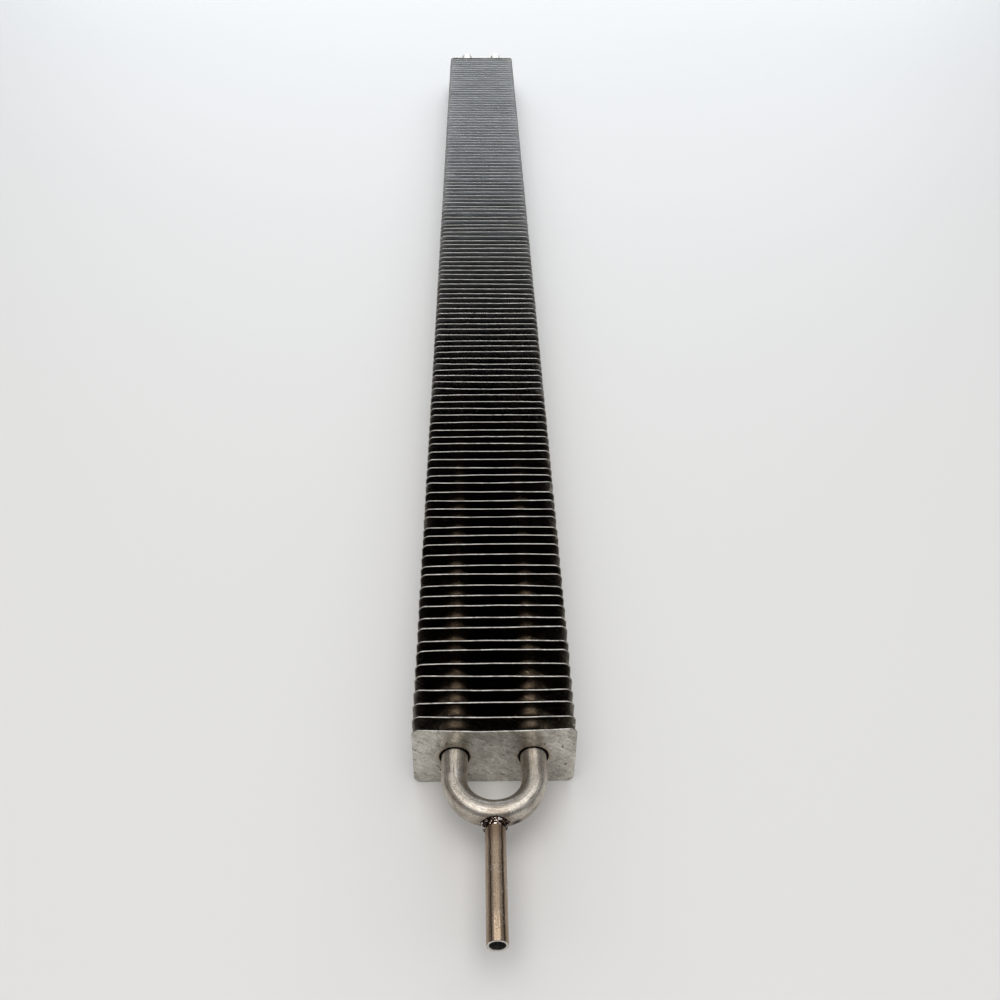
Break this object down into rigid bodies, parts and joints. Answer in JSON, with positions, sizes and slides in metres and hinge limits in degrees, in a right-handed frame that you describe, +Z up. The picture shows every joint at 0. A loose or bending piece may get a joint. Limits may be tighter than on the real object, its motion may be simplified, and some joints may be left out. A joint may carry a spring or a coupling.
{
  "type": "finned tubular heating element",
  "caption": "Long hairpin tube through a row of thin rectangular fins, with a short open stub tube welded on the bend; heats air passing between the fins.",
  "frame": {"origin": "on the ground under the middle of the whole length, midway between the legs", "axes": "+Y along the legs, away from the bend; +Z up, square to the plane of the two legs; X across the fins"},
  "size_m": [0.05, 0.7836, 0.025],
  "materials": {
    "tube_steel": "satin drawn stainless tube, warm grey, lightly pitted",
    "stub_steel": "satin drawn stainless tube, tinted brown by welding heat, with dark lengthwise streaks",
    "weld_metal": "rippled weld bead, black and brown oxide with bright scraped spots",
    "fin_sheet": "mill-finish stainless sheet, mottled matt grey, bright sheared edges"
  },
  "bodies": {
    "root": {"fin_pack_01": "fin_sheet", "fin_pack_02": "fin_sheet", "fin_pack_03": "fin_sheet", "fin_pack_04": "fin_sheet", "fin_pack_05": "fin_sheet", "fin_pack_06": "fin_sheet", "fin_pack_07": "fin_sheet", "fin_pack_08": "fin_sheet", "fin_pack_09": "fin_sheet", "fin_pack_10": "fin_sheet", "fin_pack_11": "fin_sheet", "fin_pack_12": "fin_sheet", "fin_pack_13": "fin_sheet", "front_fin": "fin_sheet", "rear_fin": "fin_sheet", "stub_tube": "stub_steel", "u_tube": "tube_steel"}
  },
  "joints": []
}
